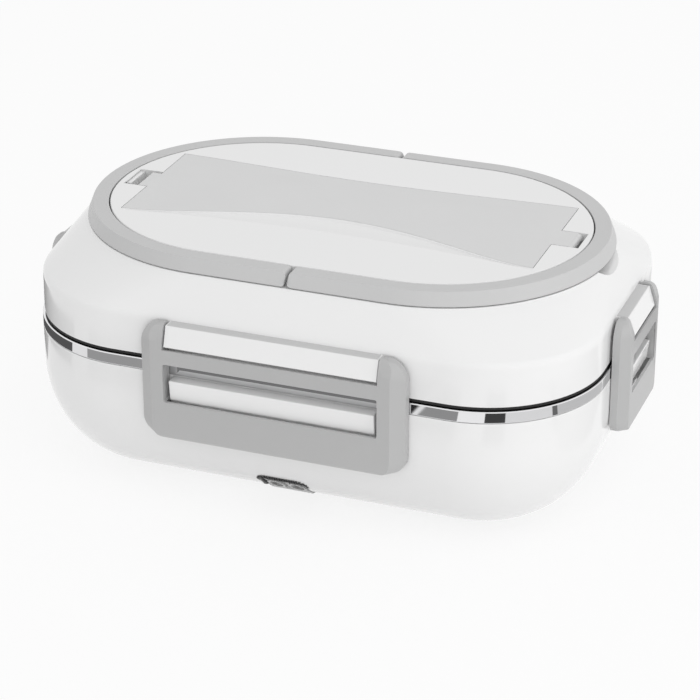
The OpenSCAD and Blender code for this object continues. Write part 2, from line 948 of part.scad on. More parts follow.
module latch_form(side) {
    win = side_win_hw(side);
    flat = win + (side == 0 ? front_flat : side_flat);
    edge = flat + (side == 0 ? front_flare : side_flare);
    top = axis_z + arm_top_r;
    round = side == 0 ? front_round : side_round;
    wall = side_wall(side);
    difference() {
        intersection() {
            along_wall(edge, wall)
                latch_profile();
            translate([0, -wall, (latch_z + top) / 2])
                rotate([90, 0, 0])
                    linear_extrude(latch_out + 1)
                        plan_shape(edge, (top - latch_z) / 2, round);
            translate([0, -wall, latch_z - 1])
                linear_extrude(top - latch_z + 2)
                    polygon([[-edge, 0], [-edge, -latch_gap], [bevel_edge - edge, -bevel_out],
                        [-flat, -latch_out], [flat, -latch_out], [edge - bevel_edge, -bevel_out],
                        [edge, -latch_gap], [edge, 0]]);
        }
        // Window, room for the hinge block, hollow behind the bar and behind the lower panel
        along_wall(win, wall)
            translate([0, win_z0])
                square([latch_out + 1, win_z1 - win_z0]);
        along_wall(win + 0.15, wall)
            polygon([[-1, bar_thick_z], [bar_thin, bar_thick_z], [bar_thin, bar_top],
                [latch_out + 1, bar_top], [latch_out + 1, top + 1], [-1, top + 1]]);
        along_wall(win + 0.15, wall)
            translate([-1, win_z1 - eps])
                square([bar_in + 1, bar_thick_z - win_z1 + 2 * eps]);
        along_wall(win + 0.15, wall)
            translate([-1, latch_z - 1])
                square([latch_out - skin_t + 1, win_z0 - latch_z + 1 + eps]);
        latch_axis(side, win + pin_seat, latch_pin_r + run_fit);
    }
}

module latch_front() {
    color(trim_grey)
        on_side(0)
            latch_form(0);
}

module latch_back() {
    color(trim_grey)
        on_side(180)
            latch_form(0);
}

module latch_left() {
    color(trim_grey)
        on_side(270)
            latch_form(1);
}

module latch_right() {
    color(trim_grey)
        on_side(90)
            latch_form(1);
}

base_shell();
catch_lugs();
base_liner();
heating_plate();
plate_seal();
mains_heater();
vehicle_heater();
heater_clamp();
clamp_screws();
thermostat();
thermal_fuse();
inlet_housing();
inlet_grommet();
mains_contacts();
vehicle_contacts();
mains_wires();
vehicle_wires();
liner_screws();
rubber_feet();
food_container();
lid_shell();
lid_inner_panel();
lid_gasket();
latch_pin_front();
latch_pin_back();
latch_pin_left();
latch_pin_right();
handle_pins();
cover_hinge_pin();
cutlery_cover();
cover_catch();
handle_left();
handle_right();
latch_front();
latch_back();
latch_left();
latch_right();
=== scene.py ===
# Looks of the electric lunch box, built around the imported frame. Metres, +Z up, front -Y.
import json
import math

import bmesh
import bpy
from mathutils import Matrix, Vector


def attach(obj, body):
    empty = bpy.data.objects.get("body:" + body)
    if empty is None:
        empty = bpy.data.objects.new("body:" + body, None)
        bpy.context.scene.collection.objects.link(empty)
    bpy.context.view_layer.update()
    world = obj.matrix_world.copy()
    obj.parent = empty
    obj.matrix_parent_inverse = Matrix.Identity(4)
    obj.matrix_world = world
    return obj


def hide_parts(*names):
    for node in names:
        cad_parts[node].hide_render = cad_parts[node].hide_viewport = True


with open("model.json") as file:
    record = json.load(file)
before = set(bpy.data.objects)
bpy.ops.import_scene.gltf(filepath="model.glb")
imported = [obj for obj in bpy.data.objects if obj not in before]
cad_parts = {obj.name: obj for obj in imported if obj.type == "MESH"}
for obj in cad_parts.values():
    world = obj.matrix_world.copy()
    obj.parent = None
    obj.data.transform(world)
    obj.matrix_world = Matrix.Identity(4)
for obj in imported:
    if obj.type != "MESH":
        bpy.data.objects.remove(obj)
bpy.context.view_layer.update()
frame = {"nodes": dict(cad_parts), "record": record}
nodes = frame["nodes"]
scene = bpy.context.scene
MM = 0.001


# Shader maths

class Val:
    """A socket of a look's tree, with arithmetic that adds Math nodes."""

    def __init__(self, look, socket):
        self.look = look
        self.socket = socket

    def _math(self, operation, a, b=None, clamp=False):
        inputs = {0: a} if b is None else {0: a, 1: b}
        return self.look.node("ShaderNodeMath", {"operation": operation, "use_clamp": clamp}, inputs)

    def __add__(self, other):
        return self._math("ADD", self, other)

    def __radd__(self, other):
        return self._math("ADD", other, self)

    def __sub__(self, other):
        return self._math("SUBTRACT", self, other)

    def __rsub__(self, other):
        return self._math("SUBTRACT", other, self)

    def __mul__(self, other):
        return self._math("MULTIPLY", self, other)

    def __rmul__(self, other):
        return self._math("MULTIPLY", other, self)

    def __abs__(self):
        return self._math("ABSOLUTE", self)

    def root(self):
        return self._math("SQRT", self)

    def heading(self, x):
        """Angle in degrees of the direction (x, self) on the floor."""
        return self._math("ARCTAN2", self, x) * (180 / math.pi)

    def at_least(self, low):
        return self._math("MAXIMUM", self, low)

    def clip(self):
        return self._math("ADD", self, 0.0, clamp=True)

    def step(self, low, high):
        """Smoothly from 0 at low to 1 at high."""
        inputs = {0: self, 1: low, 2: high, 3: 0.0, 4: 1.0}
        return self.look.node("ShaderNodeMapRange", {"interpolation_type": "SMOOTHSTEP"}, inputs)


class Look:
    """The node tree of a material or of the world, built by calls that return its sockets."""

    def __init__(self, data, output="ShaderNodeOutputMaterial"):
        self.data = data
        data.use_nodes = True
        self.tree = data.node_tree
        self.tree.nodes.clear()
        self.output = self.tree.nodes.new(output)

    def put(self, target, value):
        if isinstance(value, Val):
            self.tree.links.new(value.socket, target)
        elif isinstance(value, tuple) and len(value) == 3 and target.type == "RGBA":
            target.default_value = (*value, 1.0)
        else:
            target.default_value = value

    def node(self, kind, settings=None, inputs=None, out=0):
        """A node, its settings made first; out is the number or name of the output it gives back."""
        node = self.tree.nodes.new(kind)
        for key, value in (settings or {}).items():
            setattr(node, key, value)
        for key, value in (inputs or {}).items():
            self.put(node.inputs[key], value)
        return Val(self, node.outputs[out])

    def place(self, scale=(1, 1, 1)):
        """Object coordinates in millimetres, stretched by scale."""
        here = self.node("ShaderNodeTexCoord", out="Object")
        per_metre = tuple(1000.0 * s for s in scale)
        return self.node("ShaderNodeVectorMath", {"operation": "MULTIPLY"}, {0: here, 1: per_metre})

    def axis(self, i):
        """One object coordinate in millimetres."""
        return self.node("ShaderNodeSeparateXYZ", None, {0: self.place()}, i)

    def noise(self, per_mm, detail=2.0, rough=0.5, scale=(1, 1, 1)):
        inputs = {"Vector": self.place(scale), "Scale": per_mm, "Detail": detail, "Roughness": rough}
        return self.node("ShaderNodeTexNoise", None, inputs)

    def cells(self, per_mm, feature="F1", scale=(1, 1, 1)):
        inputs = {"Vector": self.place(scale), "Scale": per_mm}
        return self.node("ShaderNodeTexVoronoi", {"feature": feature}, inputs)

    def mix(self, factor, a, b):
        """Colour between a and b."""
        return self.node("ShaderNodeMix", {"data_type": "RGBA"}, {0: factor, 6: a, 7: b}, 2)

    def edges(self, low, high):
        """1 on outer edges, from the surface's curvature."""
        return self.node("ShaderNodeNewGeometry", out="Pointiness").step(low, high)

    def bump(self, height, distance, strength, under=None):
        inputs = {"Height": height, "Distance": distance, "Strength": strength}
        if under is not None:
            inputs["Normal"] = under
        return self.node("ShaderNodeBump", None, inputs)

    def blend(self, factor, a, b):
        """Shader between a and b."""
        return self.node("ShaderNodeMixShader", None, {0: factor, 1: a, 2: b})

    def close(self, shader):
        self.put(self.output.inputs[0], shader)
        return self.data

    def surface(self, **inputs):
        named = {key.replace("_", " "): value for key, value in inputs.items()}
        return self.close(self.node("ShaderNodeBsdfPrincipled", None, named))


def grey(v, warm=0.0):
    return (v * (1 + warm), v, v * (1 - warm))


def tinted(value, tint, lift=0.0):
    return tuple(value * t + lift for t in tint)


WHITEST = 0.95


def gloss_white(m, value, rough, peel):
    """Glossy moulded plastic: faint flow marks, orange peel, soft dust, and a painted highlight that lightens
    its convex edges.
    """
    flow = m.noise(0.012, 3.0, 0.55)
    fine = m.noise(0.9, 3.0, 0.6)
    dust = m.noise(0.05, 5.0, 0.65).step(0.45, 0.8)
    hair = m.cells(0.06, "DISTANCE_TO_EDGE", (1, 0.08, 1)).step(0.03, 0.0)
    tone = m.mix(flow, grey(value * 0.988, -0.001), grey(value * 1.008, 0.001))
    tone = m.mix(dust * 0.05, tone, grey(value * 0.9, 0.006))
    # Painted highlight: convex edges lightened towards white
    tone = m.mix(m.edges(0.53, 0.68) * 0.25, tone, grey(min(value * 1.05, WHITEST)))
    shine = rough + 0.05 * dust + 0.03 * fine + 0.04 * hair
    wave = m.bump(m.noise(0.22, 2.0, 0.5), peel * MM, 1.0)
    skin = m.bump(fine, 0.0048 * MM, 0.6, wave)
    return m.surface(Base_Color=tone, Roughness=shine, Normal=skin, IOR=1.5,
                     Coat_Weight=0.25, Coat_Roughness=0.06)


def satin_grey(m, value, rough, grain, worn=0.35):
    """Satin moulded plastic: spark-eroded grain, soft wear on the edges."""
    flow = m.noise(0.02, 3.0, 0.55)
    spark = m.noise(3.2, 4.0, 0.65)
    pits = m.cells(2.1)
    rubbed = worn * m.edges(0.53, 0.66)
    tone = m.mix(flow, grey(value * 0.975, -0.002), grey(value * 1.025, 0.0))
    tone = m.mix(spark.step(0.3, 0.7) * 0.12, tone, grey(value * 0.9))
    tone = m.mix(rubbed, tone, grey(min(value * 1.25, WHITEST)))
    shine = rough + 0.09 * spark - 0.14 * rubbed + 0.05 * m.noise(0.06, 4.0).step(0.45, 0.75)
    skin = m.bump(spark * 0.7 + pits * 0.3, grain * MM, 0.8)
    return m.surface(Base_Color=tone, Roughness=shine, Normal=skin, IOR=1.48)


def metal(m, colour, rough, line, stretch=(1, 1, 1), worn=0.05):
    """Bare metal: drawn lines and smudges, both duller where worn is higher."""
    drawn = m.noise(line, 5.0, 0.7, stretch)
    smudge = m.noise(0.035, 4.0, 0.6).step(0.4, 0.75)
    tone = m.mix(drawn, tinted(0.95, colour), tinted(1.04, colour))
    tone = m.mix(smudge * 0.12, tone, tinted(0.86, colour))
    shine = rough + worn * drawn + worn * smudge
    skin = m.bump(drawn, 0.08 * worn * MM, 0.35)
    return m.surface(Base_Color=tone, Metallic=1.0, Roughness=shine, Normal=skin)


def rubber(m, value, tint, rough):
    """Silicone or rubber: matt bloom, fine moulded skin and paler edges."""
    bloom = m.noise(0.11, 4.0, 0.6).step(0.35, 0.8)
    skin = m.noise(4.0, 3.0, 0.6)
    tone = m.mix(bloom * 0.6, tinted(value, tint), tinted(1.6 * value, tint, 0.002))
    tone = m.mix(m.edges(0.53, 0.68) * 0.3, tone, tinted(2 * value, tint, 0.008))
    shine = rough + 0.14 * bloom - 0.06 * skin
    return m.surface(Base_Color=tone, Roughness=shine, Normal=m.bump(skin, 0.02 * MM, 0.6), IOR=1.43)


BLACK_TINT, BROWN_TINT, RED_TINT, SEAL_TINT = (1, 1, 1), (1, 0.42, 0.26), (1, 0.08, 0.07), (1, 0.22, 0.16)

# Each finish: its kind, its grey value or colour, then what that kind takes; collar_black has no slot
FINISHES = {
    "shell_white": (gloss_white, 0.82, 0.1, 0.004),
    "inner_white": (gloss_white, 0.8, 0.28, 0.006),
    "trim_grey": (satin_grey, 0.42, 0.36, 0.018),
    "handle_grey": (satin_grey, 0.55, 0.36, 0.014),
    "socket_grey": (satin_grey, 0.6, 0.4, 0.014),
    "cover_grey": (satin_grey, 0.68, 0.42, 0.012, 0.03),
    "bright_steel": (metal, (0.8, 0.8, 0.81), 0.02, 0.5, (1, 1, 12), 0.012),
    "steel": (metal, (0.62, 0.63, 0.64), 0.24, 1.2, (1, 1, 6)),
    "aluminium": (metal, (0.77, 0.78, 0.79), 0.32, 0.8, (8, 1, 1)),
    "brass": (metal, (0.75, 0.58, 0.28), 0.2, 1.5),
    "dark_plastic": (satin_grey, 0.16, 0.42, 0.02),
    "rubber_black": (rubber, 0.012, BLACK_TINT, 0.62),
    "collar_black": (rubber, 0.045, BLACK_TINT, 0.45),
    "seal_red": (rubber, 0.35, SEAL_TINT, 0.5),
    "wire_brown": (rubber, 0.16, BROWN_TINT, 0.4),
    "wire_red": (rubber, 0.45, RED_TINT, 0.4),
}
MATS = {name: kind(Look(bpy.data.materials.new(name)), *values) for name, (kind, *values) in FINISHES.items()}

for part in frame["record"]["subparts"]:
    for slot in nodes[part["node"]].material_slots:
        slot.material = MATS[part["material_slot"]]


# Making of meshes; every size below is in millimetres

def mesh_object(name, verts, faces):
    mesh = bpy.data.meshes.new(name)
    mesh.from_pydata([[c * MM for c in v] for v in verts], [], faces)
    bm = bmesh.new()
    bm.from_mesh(mesh)
    bmesh.ops.recalc_face_normals(bm, faces=bm.faces)
    bm.to_mesh(mesh)
    bm.free()
    return bpy.data.objects.new(name, mesh)


def lofted(name, rings, shut=False):
    """Skin over rings of equal length, capped at both ends; shut joins the last ring to the first."""
    n = len(rings[0])
    starts = [k * n for k in range(len(rings))]
    pairs = list(zip(starts, starts[1:])) + ([(starts[-1], 0)] if shut else [])
    faces = [(a + i, a + (i + 1) % n, b + (i + 1) % n, b + i) for a, b in pairs for i in range(n)]
    if not shut:
        faces += [tuple(reversed(range(n))), tuple(range(starts[-1], starts[-1] + n))]
    return mesh_object(name, [point for ring in rings for point in ring], faces)


def upright(u, v, w):
    """An outline seen from above, w up."""
    return (u, v, w)


def wall_end(side):
    """An outline seen from the end of a wall: u out of the wall, v up, w along it."""
    return lambda u, v, w: (w, -side["wall"] - u, v)


def wall_face(side):
    """An outline seen from in front of a wall: u along it, v up, w out of it."""
    return lambda u, v, w: (u, -side["wall"] - w, v)


def lengthwise(u, v, w):
    """An outline seen from the front, w to the back."""
    return (u, w, v)


def prism(outline, w0, w1, place=upright, name="cut"):
    """Straight solid: outline in (u, v), from w0 to w1; place gives x, y and z."""
    n = len(outline)
    verts = [place(u, v, w0) for u, v in outline] + [place(u, v, w1) for u, v in outline]
    faces = [tuple(range(n)), tuple(range(2 * n - 1, n - 1, -1))]
    faces += [(i, i + n, (i + 1) % n + n, (i + 1) % n) for i in range(n)]
    return mesh_object(name, verts, faces)


def bake(obj):
    """The object's mesh with its modifiers applied; the object ends outside the scene."""
    if obj.name not in scene.collection.objects:
        scene.collection.objects.link(obj)
    bpy.context.view_layer.update()
    mesh = bpy.data.meshes.new_from_object(obj.evaluated_get(bpy.context.evaluated_depsgraph_get()))
    obj.modifiers.clear()
    obj.data = mesh
    scene.collection.objects.unlink(obj)
    return obj


def combine(obj, operation, *tools):
    """Boolean of obj with each tool in turn; the tools are used up."""
    for tool in tools:
        scene.collection.objects.link(tool)
        boolean = obj.modifiers.new("cut", "BOOLEAN")
        boolean.operation = operation
        boolean.solver = "EXACT"
        boolean.object = tool
    bake(obj)
    for tool in tools:
        bpy.data.objects.remove(tool)
    return obj


def soften(obj, width, steps, angle):
    """Rounds the edges sharper than angle."""
    bevel = obj.modifiers.new("round", "BEVEL")
    bevel.width = width * MM
    bevel.segments = steps
    bevel.limit_method = "ANGLE"
    bevel.angle_limit = math.radians(angle)
    bevel.miter_outer = "MITER_ARC"
    return bake(obj)


def settle(obj, body, slot, node, round_at, clean=False, paint=None):
    """Lays a piece down: smooth below round_at degrees, large faces flat, painted, riding on its body."""
    if clean:
        one_point = 0.002 * MM
        bm = bmesh.new()
        bm.from_mesh(obj.data)
        bmesh.ops.remove_doubles(bm, verts=bm.verts, dist=one_point)
        bmesh.ops.recalc_face_normals(bm, faces=bm.faces)
        bm.to_mesh(obj.data)
        bm.free()
    obj.data.shade_smooth()
    obj.data.set_sharp_from_angle(angle=math.radians(round_at))
    flat = obj.modifiers.new("flat", "WEIGHTED_NORMAL")
    flat.weight = 100
    flat.keep_sharp = True
    bake(obj)
    scene.collection.objects.link(obj)
    obj.data.materials.clear()
    obj.data.materials.append(MATS[paint or slot])
    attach(obj, body)
    if node:
        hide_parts(node)


def split_at(obj, x):
    """Extra edges where x is crossed, so that a face with a window in it stays simple."""
    bm = bmesh.new()
    bm.from_mesh(obj.data)
    everything = [*bm.verts, *bm.edges, *bm.faces]
    bmesh.ops.bisect_plane(bm, geom=everything, plane_co=(x * MM, 0, 0), plane_no=(1, 0, 0))
    bm.to_mesh(obj.data)
    bm.free()
    return obj


def rim_top(obj):
    """A narrow rim inside each wide upper face, so that edge wear stays at the edge."""
    bm = bmesh.new()
    bm.from_mesh(obj.data)
    least_area, rim = 60 * MM * MM, 0.3 * MM
    wide = [f for f in bm.faces if f.calc_area() > least_area and f.normal.z > 0.9]
    bmesh.ops.inset_individual(bm, faces=wide, thickness=rim, use_even_offset=True)
    bm.to_mesh(obj.data)
    bm.free()
    return obj


def turned(obj, name, degrees):
    """Copy of a piece, turned about the upright axis through the origin."""
    mesh = obj.data.copy()
    mesh.name = name
    mesh.transform(Matrix.Rotation(math.radians(degrees), 4, "Z"))
    return bpy.data.objects.new(name, mesh)


def join(name, objs):
    bm = bmesh.new()
    for obj in objs:
        bm.from_mesh(obj.data)
        bpy.data.objects.remove(obj)
    mesh = bpy.data.meshes.new(name)
    bm.to_mesh(mesh)
    bm.free()
    return bpy.data.objects.new(name, mesh)


# Outlines

def circle_point(radius, degrees, at=(0, 0)):
    a = math.radians(degrees)
    return (at[0] + radius * math.cos(a), at[1] + radius * math.sin(a))


def round_bar(radius, steps):
    return [circle_point(radius, 360 * i / steps) for i in range(steps)]


def rectangle(x0, x1, y0, y1):
    return [(x0, y0), (x1, y0), (x1, y1), (x0, y1)]


def plan_ring(half_length, half_width, radius, z, steps, sides, at=(0, 0)):
    """Rounded rectangle at one height, with the same number of points for any size."""
    hair, least_r = 0.01, 0.02
    r = max(least_r, min(radius, half_length - hair, half_width - hair))
    x, y = half_length - r, half_width - r
    corners = [(at[0] + cx, at[1] + cy) for cx, cy in ((x, y), (-x, y), (-x, -y), (x, -y))]
    points = []
    for k, corner in enumerate(corners):
        points += [circle_point(r, 90 * k + 90 * i / steps, corner) for i in range(steps + 1)]
        following = corners[(k + 1) % 4]
        for i in range(1, sides):
            between = tuple(p + (q - p) * i / sides for p, q in zip(corner, following))
            points.append(circle_point(r, 90 * (k + 1), between))
    return [(px, py, z) for px, py in points]


def inset_ring(plan, inset, z):
    """Ring of a plan (half length, half width, corner radius), drawn in by inset."""
    return plan_ring(*(size - inset for size in plan), z, 28, 8)


def foot_curve(inset, run, rise, floor, steps):
    """Insets and heights up a rounded foot, from the flat floor to the upright wall."""
    turns = [math.radians(90 * i / steps) for i in range(steps + 1)]
    return [(inset + run * (1 - math.sin(a)), floor + rise * (1 - math.cos(a))) for a in turns]


def soft_corners(outline, radius, steps):
    """Closed outline with its sharp corners rounded."""
    out = []
    for i in range(len(outline)):
        a, b, c = (Vector((*outline[k % len(outline)], 0)) for k in (i - 1, i, i + 1))
        u, v = a - b, c - b
        turn = math.pi - u.angle(v)
        cut = min(radius * math.tan(turn / 2), 0.45 * u.length, 0.45 * v.length)
        p, q = b + u.normalized() * cut, b + v.normalized() * cut
        for k in range(steps + 1):
            t = k / steps
            s = p * (1 - t) ** 2 + b * 2 * t * (1 - t) + q * t ** 2
            out.append((s.x, s.y))
    return out


def corner_cut(points, times):
    """Softens a line of points by cutting its corners at a quarter of each stretch; its ends stay."""
    for _ in range(times):
        out = [points[0]]
        for a, b in zip(points, points[1:]):
            out.append(tuple(p + (q - p) * 0.25 for p, q in zip(a, b)))
            out.append(tuple(p + (q - p) * 0.75 for p, q in zip(a, b)))
        points = out + [points[-1]]
    return points


# Sizes of the lunch box that several pieces share; a plan is half length, half width and corner radius

WALL = (118.0, 81.5, 49.0)
RIM_OUT = 0.85
BAND = tuple(size + RIM_OUT for size in WALL)
PAN = (110.6, 72.0, 40.0)
TOP_Z = 104.2
RING_HL, RING_HW, RING_H, RING_WIDE = 101.5, 61.7, 5.8, 8.85
PIN_OUT, PIN_Z, ARM_R = 3.2, 80.1, 2.9
LATCH_Z, LATCH_OUT, LATCH_GAP = 34.3, 7.7, 1.15
WINDOW_LOW, WINDOW_HIGH = 50.2, 66.6

# How far out a wall is, half of its latch's window, the flat frame beside that, the bevel beyond, and corners
FRONT = {"wall": WALL[1], "win": 44.45, "flat": 5.15, "flare": 5.6, "top_corner": 9.5, "low_corner": 7.2}
SIDE = {"wall": WALL[0], "win": 17.2, "flat": 3.6, "flare": 4.8, "top_corner": 8.0, "low_corner": 6.2}


# Snap latches: an open frame with two arms that hang from the hinge pin

def latch_blank(side, half, top):
    """The latch without its cut-outs: panel and arms from the end, with corners that narrow outwards."""
    arms = [circle_point(ARM_R, a, (PIN_OUT, PIN_Z)) for a in range(20, 136, 5)]
    panel = [(LATCH_GAP, LATCH_Z), (LATCH_OUT - 0.9, LATCH_Z), (LATCH_OUT, LATCH_Z + 1.1), (LATCH_OUT, 76.0)]
    blank = split_at(prism(panel + arms, -half, half, wall_end(side), "latch"), 0.0)
    middle, tall = (top + LATCH_Z) / 2, (top - LATCH_Z) / 2
    bevel_from = 4.0
    shoulder = half - 0.4
    slope = (shoulder - side["win"] - side["flat"]) / (LATCH_OUT - bevel_from)
    beyond = shoulder - slope * (LATCH_OUT + 1 - bevel_from)
    levels = ((half, 0, -1), (half, 0, LATCH_GAP), (shoulder, 0.3, bevel_from), (beyond, 2.4, LATCH_OUT + 1))
    rings = []
    for wide, shrink, w in levels:
        upper, lower = (plan_ring(wide, tall, side[corner] - shrink, w, 9, 1, (0, middle))
                        for corner in ("top_corner", "low_corner"))
        rings.append([wall_face(side)(*point) for point in upper[:20] + lower[20:]])
    return combine(blank, "INTERSECT", lofted("cut", rings))


def frame_latch(side):
    """Latch as it hangs on the front wall."""
    win, top = side["win"], PIN_Z + ARM_R
    latch = latch_blank(side, win + side["flat"] + side["flare"], top)
    front, past = LATCH_OUT - 1.2, LATCH_OUT + 1
    eye_low, bar_back = 70.7, 3.7
    eye = [(-1, eye_low), (6.3, eye_low), (6.7, 72.7), (past, 72.7), (past, top + 1), (-1, top + 1)]
    behind_bar = rectangle(-1, bar_back, WINDOW_HIGH - 0.01, eye_low + 0.05)
    behind_panel = rectangle(-1, front, LATCH_Z - 1, WINDOW_LOW + 0.01)
    for outline in (eye, behind_bar, behind_panel):
        combine(latch, "DIFFERENCE", prism(outline, -win - 0.15, win + 0.15, wall_end(side)))
    window = soft_corners(rectangle(-win, win, WINDOW_LOW, WINDOW_HIGH), 0.8, 4)
    combine(latch, "DIFFERENCE", prism(window, -1, past, wall_face(side)))
    return soften(latch, 0.7, 4, 28)


for side, places in ((FRONT, {"front": 0, "back": 180}), (SIDE, {"right": 90, "left": 270})):
    pattern = frame_latch(side)
    for where, turn in places.items():
        latch = turned(pattern, "frame_latch_" + where, turn)
        settle(latch, where + "_latch", "trim_grey", "latch_" + where, 40)
    bpy.data.objects.remove(pattern)


# Carry handles: half loops with soft edges, their ends rounded about the pivots

def handle_section():
    """Section of the loop: upright inner side, sloping outer side."""
    outline = [(0, 0), (RING_WIDE, 0), (6.62, RING_H), (0, RING_H)]
    steps = 5
    points = []
    for k, radius in enumerate((0.35, 0.5, 0.35, 0.3)):
        corner = soft_corners([outline[k - 1], outline[k], outline[(k + 1) % 4]], radius, steps)
        near = sorted(corner, key=lambda p: math.dist(p, outline[k]))[:steps + 1]
        points += [p for p in corner if p in near]
    return points


def loop_handle():
    """Left loop: straight run, half circle, straight run back, its section squeezed to the rounded ends."""
    pivot_x = -3.15
    half = RING_H / 2
    bend_x = RING_HW - RING_HL
    run = []
    for degrees in (86, 80, 72, 62, 52, 40, 28, 14, 0):
        t = math.radians(degrees)
        run.append((pivot_x + (half - 0.3) * math.sin(t) ** 0.6, math.cos(t) ** 0.6))
    run += [(x, 1) for x in (-12, -24, bend_x + 0.01)]
    path = [(x, (0, -1), squeeze) for x, squeeze in run]
    path += [(bend_x, circle_point(1, 270 - 3 * i), 1) for i in range(1, 60)]
    path += [(x, (0, 1), squeeze) for x, squeeze in reversed(run)]
    section = handle_section()
    return lofted("loop", [[(x + nx * (RING_HW + u), ny * (RING_HW + u), TOP_Z - half + (v - half) * squeeze)
                            for u, v in section] for x, (nx, ny), squeeze in path])


loop = loop_handle()
for hand, turn in (("left", 0), ("right", 180)):
    handle = turned(loop, "loop_handle_" + hand, turn)
    settle(handle, hand + "_handle", "handle_grey", "handle_" + hand, 40, True)
bpy.data.objects.remove(loop)


# Cutlery cover: a bow-tie plate with a hinge tab at one end and a snap tab at the other

COVER_HL, COVER_HW, COVER_Y, COVER_T = 87.4, 32.0, 1.0, 1.8
TAB_HW, HINGE_X, SNAP_X = 7.3, 94.6, -91.5
FRONT_WAIST, BACK_WAIST = 19.4, 3.6


def fullness(x):
    """1 in the middle of the cover, 0 at its ends."""
    return max(0, 1 - (x / COVER_HL) ** 2)


def drawn_in(x, waist):
    """How far a long side of the cover is drawn in; waist is the most, in its middle."""
    return waist * fullness(x) ** 1.75


def cover_outline():
    xs = [COVER_HL * i / 32 for i in range(-32, 33)]
    tab_low, tab_high = COVER_Y - TAB_HW, COVER_Y + TAB_HW
    front_out = 0.24
    points = [(x, COVER_Y - COVER_HW - front_out + drawn_in(x, FRONT_WAIST)) for x in xs]
    points += [(COVER_HL, tab_low), (HINGE_X, tab_low), (HINGE_X, tab_high), (COVER_HL, tab_high)]
    points += [(-x, COVER_Y + COVER_HW - drawn_in(x, BACK_WAIST)) for x in xs]
    return points + [(-COVER_HL, tab_high), (SNAP_X, tab_high), (SNAP_X, tab_low), (-COVER_HL, tab_low)]


def bow_tie_cover():
    cover = prism(cover_outline(), TOP_Z - COVER_T, TOP_Z, name="bow_tie_cover")
    for x in (-70, -45, -15, 15, 45, 70):
        split_at(cover, x)
    barrel_r, barrel_z = 1.7, TOP_Z - 1.9
    barrel = prism(round_bar(barrel_r, 28), COVER_Y - TAB_HW + 0.01, COVER_Y + TAB_HW - 0.01,
                   lambda u, v, w: (HINGE_X + u, w, barrel_z + v))
    leg_low, leg_back = 95.6, -89.9
    leg_y0, leg_y1 = COVER_Y - 5.8, COVER_Y + 5.8
    leg = prism(rectangle(SNAP_X + 0.01, leg_back, leg_y0, leg_y1), leg_low, TOP_Z - 0.6)
    lip = prism(rectangle(SNAP_X - 0.8, leg_back - 0.05, leg_low, leg_low + 1), leg_y0 + 0.01, leg_y1 - 0.01,
                lengthwise)
    combine(cover, "UNION", barrel, leg, lip)
    return rim_top(soften(cover, 0.38, 3, 30))


settle(bow_tie_cover(), "cover", "cover_grey", "cutlery_cover", 40)


# Catch that holds the cover's tab, its face cut with grip ribs

def grip_outline():
    back, face, valley, pitch = -98.6, -96.0, 0.25, 1.09
    low, last, high = -3.6, 9.6, 10.0
    points = [(back, high), (back, low)]
    y = low
    while y < last:
        points += [(face - valley, y), (face, y + 0.2), (face, y + 0.62), (face - valley, y + 0.82)]
        y += pitch
    return points + [(face, high)]


def ribbed_catch():
    catch = prism(grip_outline(), 95.6, 103.3, name="ribbed_catch")
    nose = prism(rectangle(-96.3, -92.6, -2.1, 3.7), 96.9, 98.1)
    return soften(combine(catch, "UNION", nose), 0.12, 2, 40)


settle(ribbed_catch(), "catch", "shell_white", "cover_catch", 40)


# Steel container: drawn pan with a rolled flange and a bright skirt

def pan_wall(skin, floor, rim):
    """Insets and heights up one side of the pan's wall, from the floor's edge."""
    foot = foot_curve(skin + 2, 16, 18, floor, 14)
    foot_top = foot[-1][1]
    return foot + [(skin + 2 * (1 - t), foot_top + (rim - foot_top) * t) for t in (0.25, 0.5, 0.75, 1.0)]


def drawn_container():
    flange_z = 64.25
    inside = pan_wall(0.6, 15.6, 63.7) + [(0.42, 64.1), (0.1, flange_z)]
    outside = pan_wall(0.0, 15.0, 63.4) + [(-0.3, 63.65)]
    skirt = [(1.0, flange_z), (0.4, flange_z), (0.2, 64.21), (0.06, 64.09), (0, 63.9), (0, 63.8), (0, 59.75),
             (0, 59.65), (0.06, 59.52), (0.18, 59.45), (0.42, 59.45), (0.54, 59.5), (0.6, 59.62), (0.6, 63.2),
             (0.9, 63.65)]
    rows = [(PAN, *row) for row in inside] + [(BAND, *row) for row in skirt]
    rows += [(PAN, *row) for row in reversed(outside)]
    return lofted("drawn_container", [inset_ring(*row) for row in rows])


settle(drawn_container(), "container", "bright_steel", "food_container", 50, True)


# Lid seal: silicone ring with a lip that shows as a black line above the skirt

def lipped_seal():
    outside = [(2.4, 68.2), (2.4, 65.72), (0.5, 65.72), (0.22, 65.66), (0.12, 65.5), (0.12, 64.75),
               (0.2, 64.6), (0.4, 64.55)]
    inside = [(0.9, 64.55), (1.2, 64.8), (1.2, 67.9), (0.9, 68.2)]
    rows = [(WALL, *row) for row in outside] + [(PAN, *row) for row in inside]
    return lofted("lipped_seal", [inset_ring(*row) for row in rows], True)


settle(lipped_seal(), "lid", "rubber_black", "lid_gasket", 40, True)


# Bars on the walls: the base's catch lugs, and the lid's hinge blocks with a thin grey sheet of painted shade
# on their tops

def four_bars(name, profile, clear, radius, steps):
    """A bar on each wall, from its profile out of the wall, clear of each end of the latch's window."""
    bars = []
    for side, turns in ((FRONT, (0, 180)), (SIDE, (90, 270))):
        half = side["win"] - clear
        bar = soften(prism(profile, -half, half, wall_end(side), "bar"), radius, steps, 20)
        bars += [turned(bar, "bar", turn) for turn in turns]
        bpy.data.objects.remove(bar)
    return join(name, bars)


LUG = [(RIM_OUT - 0.4, 59.0), (6.2, 59.0), (5.2, 50.6), (RIM_OUT - 0.4, 46.1)]
settle(four_bars("latch_lugs", LUG, 1.65, 0.5, 3), "base", "shell_white", "catch_lugs", 40)

# Base shell: a tub with a deep rounded foot, open for the power inlet

